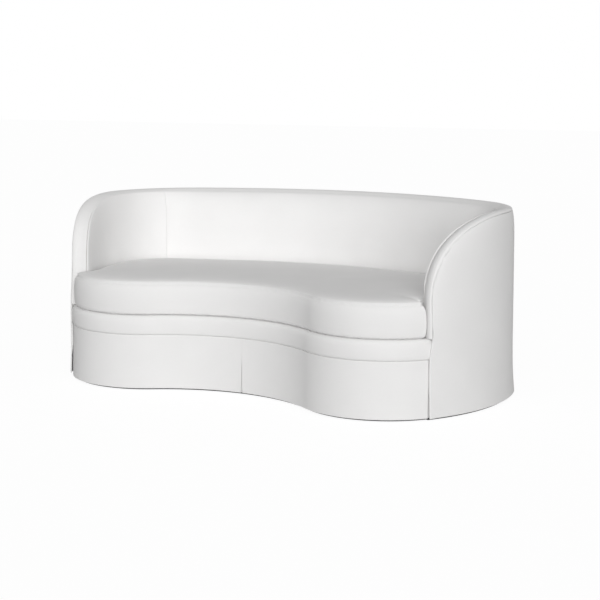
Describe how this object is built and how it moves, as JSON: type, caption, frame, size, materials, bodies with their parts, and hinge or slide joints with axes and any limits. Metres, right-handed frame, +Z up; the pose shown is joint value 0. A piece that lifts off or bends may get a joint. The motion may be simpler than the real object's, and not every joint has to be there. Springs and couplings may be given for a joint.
{
  "type": "curved settee",
  "caption": "Curved kidney-shaped settee with a loose boxed seat cushion, arms that sweep up into the back, a padded band along the top and a pleated skirt to the floor.",
  "frame": {"origin": "on the floor, under the middle of the settee", "axes": "+X to the right as seen from the front, -Y towards the front, +Z up"},
  "size_m": [2.1274, 1.2612, 0.833],
  "materials": {
    "cover_fabric": "white woven cotton, matt, washed soft",
    "zip_tape": "pale woven tape",
    "zip_metal": "satin",
    "foam": "pale open-cell foam",
    "wadding": "soft white fibre wadding",
    "stiff_board": "brown fibre board, matt",
    "webbing": "brown elastic webbing",
    "hessian": "coarse brown hessian",
    "spring_steel": "oiled",
    "hardwood": "planed, unfinished",
    "plywood": "sanded, unfinished",
    "stained_wood": "dark stain, satin",
    "glide_plastic": "matt",
    "dust_cloth": "thin black bonded cloth"
  },
  "bodies": {
    "settee_frame": {"inside_back": "cover_fabric", "inside_arm_left": "cover_fabric", "inside_arm_right": "cover_fabric", "back_foam": "foam", "arm_foam_left": "foam", "arm_foam_right": "foam", "back_webbing": "webbing", "top_band_back": "cover_fabric", "top_band_left": "cover_fabric", "top_band_right": "cover_fabric", "outside_back": "cover_fabric", "outside_arm_left": "cover_fabric", "outside_arm_right": "cover_fabric", "outer_wadding_back": "wadding", "outer_wadding_left": "wadding", "outer_wadding_right": "wadding", "outer_board_back": "stiff_board", "outer_board_left": "stiff_board", "outer_board_right": "stiff_board", "front_border": "cover_fabric", "front_skirt_left": "cover_fabric", "front_skirt_right": "cover_fabric", "pleat_flap_centre": "cover_fabric", "pleat_flap_front_left": "cover_fabric", "pleat_flap_front_right": "cover_fabric", "pleat_flap_rear_left": "cover_fabric", "pleat_flap_rear_right": "cover_fabric", "skirt_tack_strip": "stiff_board", "deck_cloth": "cover_fabric", "deck_pad": "foam", "deck_hessian": "hessian", "seat_springs": "spring_steel", "spring_clips": "spring_steel", "seat_rail_front": "hardwood", "seat_rail_back": "hardwood", "seat_rail_left": "hardwood", "seat_rail_right": "hardwood", "stretcher_left": "hardwood", "stretcher_centre": "hardwood", "stretcher_right": "hardwood", "corner_blocks": "hardwood", "base_plate_front": "plywood", "base_plate_back": "plywood", "base_plate_left": "plywood", "base_plate_right": "plywood", "top_plate": "plywood", "arm_rail_left": "plywood", "arm_rail_right": "plywood", "arm_post_left": "hardwood", "arm_post_right": "hardwood", "back_studs": "hardwood", "arm_studs": "hardwood", "block_feet": "stained_wood", "foot_glides": "glide_plastic", "foot_bolts": "spring_steel", "dust_cover": "dust_cloth"},
    "seat_cushion": {"seat_cushion_cover": "cover_fabric", "seat_cushion_core": "foam", "cushion_zip": "zip_tape", "zip_slider": "zip_metal"}
  },
  "joints": [
    {"name": "cushion_lift", "type": "slide", "parent": "settee_frame", "child": "seat_cushion", "axis": [0, 0, 1], "range_m": [0, 0.52]}
  ]
}
